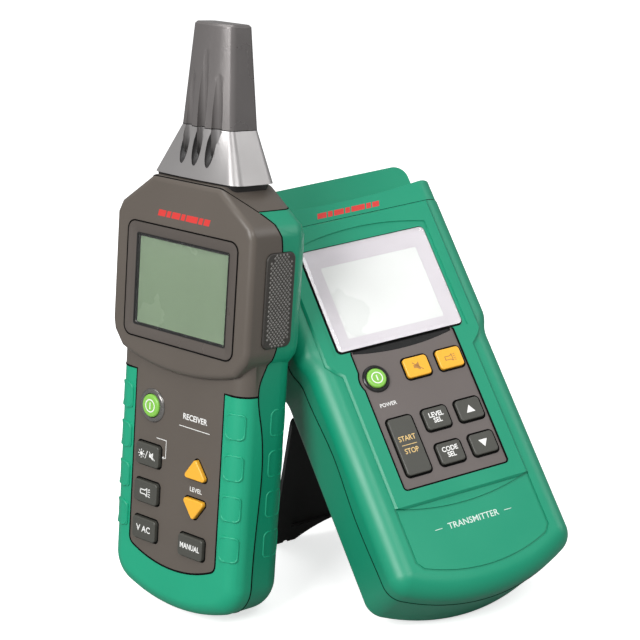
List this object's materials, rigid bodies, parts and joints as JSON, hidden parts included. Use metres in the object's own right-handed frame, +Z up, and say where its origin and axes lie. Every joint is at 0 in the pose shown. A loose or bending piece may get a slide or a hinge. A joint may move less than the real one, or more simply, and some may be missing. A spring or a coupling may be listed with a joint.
{
  "type": "circuit breaker finder",
  "caption": "Cable and breaker locator set: hand-held receiver with a tapered sensing probe, display and keys, beside a transmitter leaning on its fold-out stand.",
  "frame": {"origin": "middle of the footprint of both units, on the surface they stand on", "axes": "+Z up; -Y towards the side the transmitter faces; +X to the transmitter's right as its face is read"},
  "size_m": [0.1574, 0.1438, 0.2409],
  "materials": {
    "receiver_grey": "satin warm dark grey moulding",
    "probe_grey": "satin metallic grey moulding",
    "green_shell": "fine spark-eroded emerald green moulding",
    "green_rubber": "soft green over-moulded rubber",
    "plate_grey": "satin brown grey plate",
    "bezel_grey": "satin grey frame",
    "clear_lens": "clear moulded window",
    "lcd": "grey green liquid crystal panel",
    "dark_key": "dark grey moulded key",
    "orange_key": "orange yellow moulded key",
    "lime_key": "lime green button",
    "bright_ring": "bright plated ring",
    "black_ring": "black ring",
    "black_plastic": "black moulding with fine grain",
    "grip_grey": "dark grey knurled rubber",
    "red_plastic": "red socket",
    "board_green": "circuit board",
    "steel": "steel screw",
    "ferrite": "ferrite",
    "copper_wire": "enamelled copper winding",
    "cell_jacket": "printed cell jacket",
    "grey_rubber": "silicone key mat"
  },
  "bodies": {
    "root": {"rx_back_shell": "green_shell", "rx_battery_cells": "cell_jacket", "rx_battery_contacts": "steel", "rx_battery_door": "green_shell", "rx_battery_door_screw": "steel", "rx_buzzer": "black_plastic", "rx_case_screws": "steel", "rx_collar": "receiver_grey", "rx_display_bezel": "bezel_grey", "rx_display_lens": "clear_lens", "rx_ferrite_core": "ferrite", "rx_front_shell": "receiver_grey", "rx_grip_frame": "green_rubber", "rx_key_mat": "grey_rubber", "rx_lcd_module": "lcd", "rx_main_board": "board_green", "rx_power_ring": "bright_ring", "rx_probe_housing": "probe_grey", "rx_sensor_coil": "copper_wire", "rx_side_grip_left": "grip_grey", "rx_side_grip_right": "grip_grey", "rx_skirt": "probe_grey", "rx_torch_lens": "clear_lens", "tx_back_shell": "green_shell", "tx_battery": "cell_jacket", "tx_battery_clip": "black_plastic", "tx_buzzer": "black_plastic", "tx_case_screws": "steel", "tx_display_lens": "clear_lens", "tx_front_shell": "green_shell", "tx_key_mat": "grey_rubber", "tx_keypad_plate": "plate_grey", "tx_lcd_module": "lcd", "tx_main_board": "board_green", "tx_power_ring": "black_ring", "tx_socket_black": "black_plastic", "tx_socket_red": "red_plastic", "tx_stand_pins": "steel", "tx_top_cap": "green_shell", "tx_torch_led": "clear_lens", "tx_torch_lens": "clear_lens"},
    "tx_mute_key_body": {"tx_mute_key": "orange_key"},
    "tx_torch_key_body": {"tx_torch_key": "orange_key"},
    "tx_level_key_body": {"tx_level_key": "dark_key"},
    "tx_up_key_body": {"tx_up_key": "dark_key"},
    "tx_code_key_body": {"tx_code_key": "dark_key"},
    "tx_down_key_body": {"tx_down_key": "dark_key"},
    "tx_start_key_body": {"tx_start_key": "dark_key"},
    "tx_power_button_body": {"tx_power_button": "lime_key"},
    "rx_light_key_body": {"rx_light_key": "dark_key"},
    "rx_torch_key_body": {"rx_torch_key": "dark_key"},
    "rx_volt_key_body": {"rx_volt_key": "dark_key"},
    "rx_manual_key_body": {"rx_manual_key": "dark_key"},
    "rx_level_up_key_body": {"rx_level_up_key": "orange_key"},
    "rx_level_down_key_body": {"rx_level_down_key": "orange_key"},
    "rx_power_button_body": {"rx_power_button": "lime_key"},
    "stand_body": {"tx_stand": "black_plastic"},
    "tx_battery_door_body": {"tx_battery_door": "green_shell", "tx_battery_door_screw": "steel"}
  },
  "joints": [
    {"name": "tx_mute_key_press", "type": "slide", "parent": "root", "child": "tx_mute_key_body", "axis": [0, 0.7556, -0.655], "range_m": [0, 0.0008], "stiffness_N_per_m": 300},
    {"name": "tx_torch_key_press", "type": "slide", "parent": "root", "child": "tx_torch_key_body", "axis": [0, 0.7556, -0.655], "range_m": [0, 0.0008], "stiffness_N_per_m": 300},
    {"name": "tx_level_key_press", "type": "slide", "parent": "root", "child": "tx_level_key_body", "axis": [0, 0.7556, -0.655], "range_m": [0, 0.0008], "stiffness_N_per_m": 300},
    {"name": "tx_up_key_press", "type": "slide", "parent": "root", "child": "tx_up_key_body", "axis": [0, 0.7556, -0.655], "range_m": [0, 0.0008], "stiffness_N_per_m": 300},
    {"name": "tx_code_key_press", "type": "slide", "parent": "root", "child": "tx_code_key_body", "axis": [0, 0.7556, -0.655], "range_m": [0, 0.0008], "stiffness_N_per_m": 300},
    {"name": "tx_down_key_press", "type": "slide", "parent": "root", "child": "tx_down_key_body", "axis": [0, 0.7556, -0.655], "range_m": [0, 0.0008], "stiffness_N_per_m": 300},
    {"name": "tx_start_key_press", "type": "slide", "parent": "root", "child": "tx_start_key_body", "axis": [0, 0.7556, -0.655], "range_m": [0, 0.0008], "stiffness_N_per_m": 300},
    {"name": "tx_power_button_press", "type": "slide", "parent": "root", "child": "tx_power_button_body", "axis": [0, 0.7556, -0.655], "range_m": [0, 0.0008], "stiffness_N_per_m": 300},
    {"name": "rx_light_key_press", "type": "slide", "parent": "root", "child": "rx_light_key_body", "axis": [0.9215, 0.3372, -0.1927], "range_m": [0, 0.0008], "stiffness_N_per_m": 300},
    {"name": "rx_torch_key_press", "type": "slide", "parent": "root", "child": "rx_torch_key_body", "axis": [0.9215, 0.3372, -0.1927], "range_m": [0, 0.0008], "stiffness_N_per_m": 300},
    {"name": "rx_volt_key_press", "type": "slide", "parent": "root", "child": "rx_volt_key_body", "axis": [0.9215, 0.3372, -0.1927], "range_m": [0, 0.0008], "stiffness_N_per_m": 300},
    {"name": "rx_manual_key_press", "type": "slide", "parent": "root", "child": "rx_manual_key_body", "axis": [0.9215, 0.3372, -0.1927], "range_m": [0, 0.0008], "stiffness_N_per_m": 300},
    {"name": "rx_level_up_key_press", "type": "slide", "parent": "root", "child": "rx_level_up_key_body", "axis": [0.9215, 0.3372, -0.1927], "range_m": [0, 0.0008], "stiffness_N_per_m": 300},
    {"name": "rx_level_down_key_press", "type": "slide", "parent": "root", "child": "rx_level_down_key_body", "axis": [0.9215, 0.3372, -0.1927], "range_m": [0, 0.0008], "stiffness_N_per_m": 300},
    {"name": "rx_power_button_press", "type": "slide", "parent": "root", "child": "rx_power_button_body", "axis": [0.9215, 0.3372, -0.1927], "range_m": [0, 0.0008], "stiffness_N_per_m": 300},
    {"name": "stand_fold", "type": "hinge", "parent": "root", "child": "stand_body", "pos_m": [0.03423, 0.022, 0.07741], "axis": [1, 0, 0], "range_deg": [-64.44, 0]},
    {"name": "tx_battery_door_lift", "type": "slide", "parent": "root", "child": "tx_battery_door_body", "axis": [0, 0.7556, -0.655], "range_m": [0, 0.012]}
  ]
}
